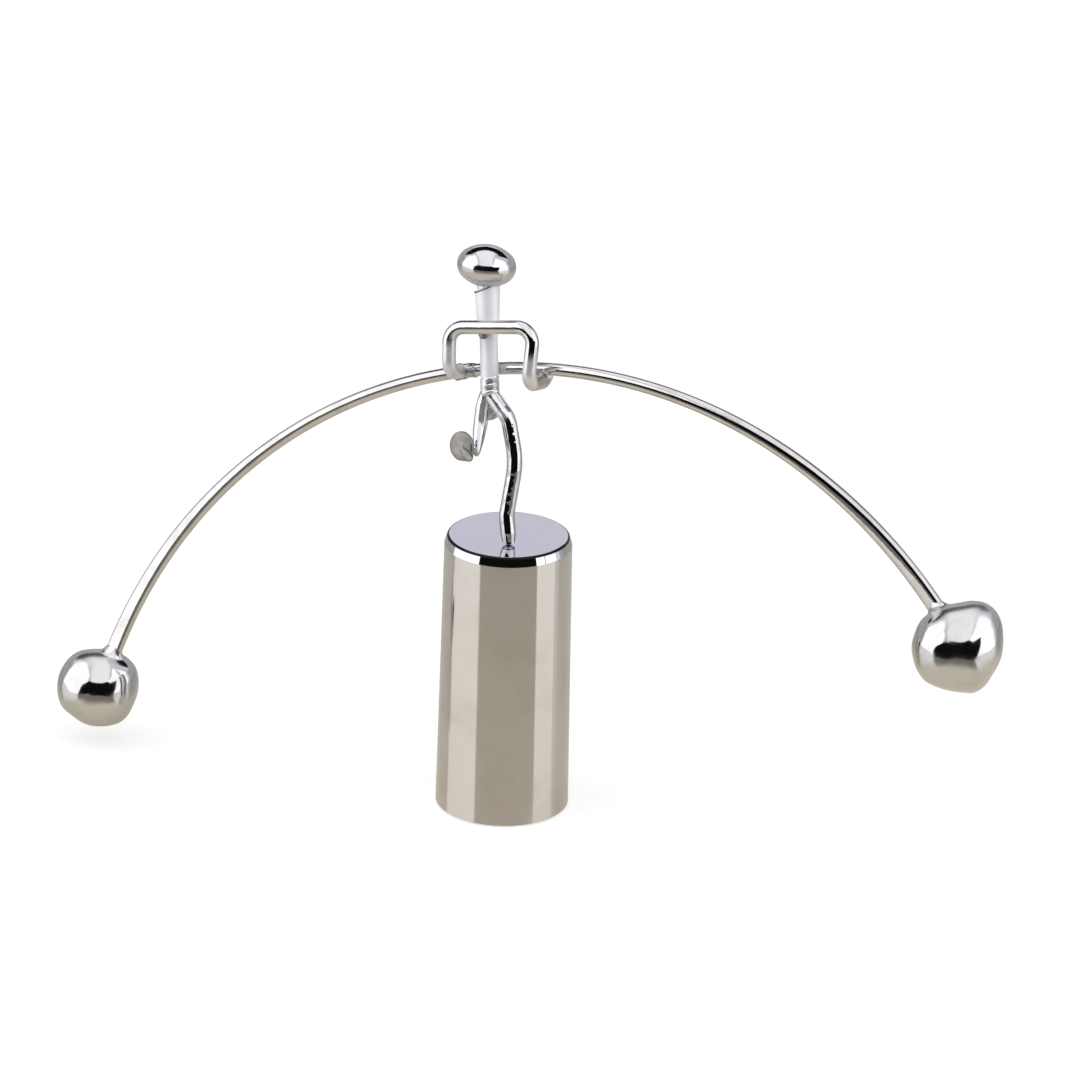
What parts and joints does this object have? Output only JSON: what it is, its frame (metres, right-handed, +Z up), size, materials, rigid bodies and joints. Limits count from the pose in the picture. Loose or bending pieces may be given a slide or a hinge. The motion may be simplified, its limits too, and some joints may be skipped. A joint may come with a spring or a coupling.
{
  "type": "balance figurine",
  "caption": "Chromed weightlifter figure that balances on one toe on a round pedestal, steadied by two heavy balls on a long drooping bar.",
  "frame": {"origin": "middle of the underside of the pad that the base stands on", "axes": "+Z up, +X to the figure's right as the picture is seen, -Y towards the viewer"},
  "size_m": [0.2464, 0.0375, 0.1415],
  "materials": {
    "chrome": "polished",
    "weld": "satin",
    "iron": "matte",
    "rubber": "matte",
    "board": "matte"
  },
  "bodies": {
    "base": {"base_shell": "chrome", "base_ballast": "iron", "base_disc": "board", "base_pad": "rubber"},
    "toe ball": {"toe_ball": "weld"},
    "toe braze": {"toe_braze": "weld"},
    "figure": {"standing_leg": "chrome", "free_leg": "chrome", "free_foot": "chrome", "foot_weld": "weld", "waist_weld": "weld", "crotch_weld": "weld", "torso": "chrome", "shoulder_weld": "weld", "arms": "chrome", "neck_weld": "weld", "head": "chrome", "balance_bar": "chrome", "left_hand_weld": "weld", "right_hand_weld": "weld", "left_ball": "chrome", "right_ball": "chrome", "ball_fillets": "weld"}
  },
  "joints": [
    {"name": "turn on the plate", "type": "hinge", "parent": "base", "child": "toe ball", "pos_m": [0.0024, -0.0059, 0.07272], "axis": [0, 0, 1], "continuous": true},
    {"name": "rock fore and aft", "type": "hinge", "parent": "toe ball", "child": "toe braze", "pos_m": [0.0024, -0.0059, 0.07272], "axis": [1, 0, 0], "range_deg": [-15, 15]},
    {"name": "rock side to side", "type": "hinge", "parent": "toe braze", "child": "figure", "pos_m": [0.0024, -0.0059, 0.07272], "axis": [0, 1, 0], "range_deg": [-1.5, 29]}
  ]
}
